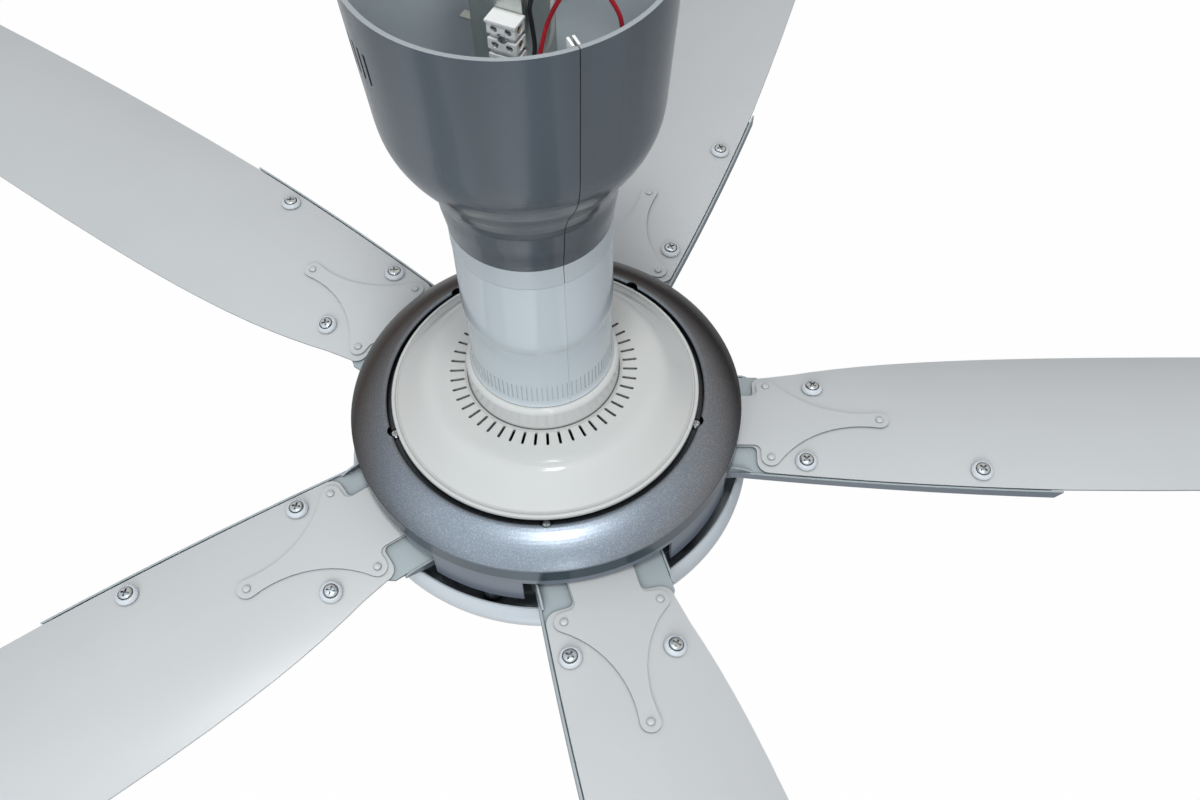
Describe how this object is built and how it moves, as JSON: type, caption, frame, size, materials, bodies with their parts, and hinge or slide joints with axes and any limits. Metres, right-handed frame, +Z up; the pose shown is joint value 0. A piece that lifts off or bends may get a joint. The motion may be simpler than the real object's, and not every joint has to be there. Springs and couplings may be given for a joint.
{
  "type": "ceiling fan",
  "caption": "Ceiling fan on a short down pipe: split bell canopy, slotted motor cover, and a turning hub with cambered sheet blades on pressed steel arms.",
  "frame": {"origin": "centre of the ceiling face of the bracket plate, on the axis the blades turn about", "axes": "+Z up, along the turning axis and out of the ceiling face, so the fan hangs below the origin; +X to the right and +Y away from the viewer when the fan is seen from the picture's side"},
  "size_m": [1.41, 1.4481, 0.479],
  "materials": {
    "zinc": "zinc plated steel sheet, satin",
    "bolt_zinc": "bright zinc plated steel",
    "bush_rubber": "moulded rubber, matte",
    "pipe_paint": "grey paint on steel tube, semi-gloss",
    "nylon_white": "white nylon, satin",
    "brass": "plain machined brass",
    "pvc_red": "red insulation, satin",
    "pvc_white": "white insulation, satin",
    "pvc_black": "black insulation, satin",
    "canopy_grey": "dark grey satin metallic coat on moulded plastic",
    "cover_grey": "light blue grey gloss moulded plastic",
    "cover_white": "off-white gloss moulded plastic",
    "coupling_iron": "cast steel, machined",
    "capacitor_case": "white moulded case",
    "shaft_steel": "ground steel",
    "lamination": "stacked steel sheet",
    "copper": "varnished copper winding",
    "bearing_steel": "polished bearing steel",
    "cage_metal": "steel and aluminium squirrel cage",
    "cast_alloy": "die-cast alloy",
    "ring_pearl": "grey pearl metallic lacquer",
    "wall_grey": "dark grey semi-gloss paint",
    "pearl_silver": "silver pearl lacquer",
    "blade_paint": "light grey semi-gloss powder coat on steel sheet",
    "arm_steel": "grey coat on pressed steel",
    "washer_nylon": "pale grey nylon"
  },
  "bodies": {
    "hanging_frame": {"ceiling_bracket": "zinc", "cross_bolts": "bolt_zinc", "cross_nuts": "bolt_zinc", "hanger_bushes": "bush_rubber", "down_pipe": "pipe_paint", "terminal_block": "nylon_white", "terminal_inserts": "brass", "terminal_screws": "bolt_zinc", "terminal_fixings": "bolt_zinc", "lead_red": "pvc_red", "lead_white": "pvc_white", "lead_black": "pvc_black", "lead_return": "pvc_black", "canopy_half_left": "canopy_grey", "canopy_half_right": "canopy_grey", "canopy_clips": "nylon_white", "lower_cover_left": "cover_grey", "lower_cover_right": "cover_grey", "cover_collar": "cover_white", "motor_top_cover": "cover_white", "top_cover_screws": "bolt_zinc", "pipe_coupling": "coupling_iron", "run_capacitor": "capacitor_case", "capacitor_screw": "bolt_zinc", "motor_shaft": "shaft_steel", "stator_core": "lamination", "stator_winding": "copper"},
    "rotor": {"shaft_nut": "bolt_zinc", "bearing_upper": "bearing_steel", "bearing_lower": "bearing_steel", "rotor_cage": "cage_metal", "motor_housing_top": "cast_alloy", "motor_housing_bottom": "cast_alloy", "housing_screws": "bolt_zinc", "ring_cover": "ring_pearl", "ring_screws": "bolt_zinc", "hub_wall": "wall_grey", "hub_wall_screws": "bolt_zinc", "bottom_cover": "pearl_silver", "bottom_cover_screws": "bolt_zinc", "blade_1": "blade_paint", "blade_2": "blade_paint", "blade_3": "blade_paint", "blade_4": "blade_paint", "blade_5": "blade_paint", "blade_arm_1": "arm_steel", "blade_arm_2": "arm_steel", "blade_arm_3": "arm_steel", "blade_arm_4": "arm_steel", "blade_arm_5": "arm_steel", "root_plate_1": "blade_paint", "root_plate_2": "blade_paint", "root_plate_3": "blade_paint", "root_plate_4": "blade_paint", "root_plate_5": "blade_paint", "blade_rivets": "blade_paint", "blade_washers": "washer_nylon", "blade_screws": "bolt_zinc", "arm_screws": "bolt_zinc"}
  },
  "joints": [
    {"name": "rotor_spin", "type": "hinge", "parent": "hanging_frame", "child": "rotor", "pos_m": [0, 0, -0.4], "axis": [0, 0, 1], "continuous": true}
  ]
}
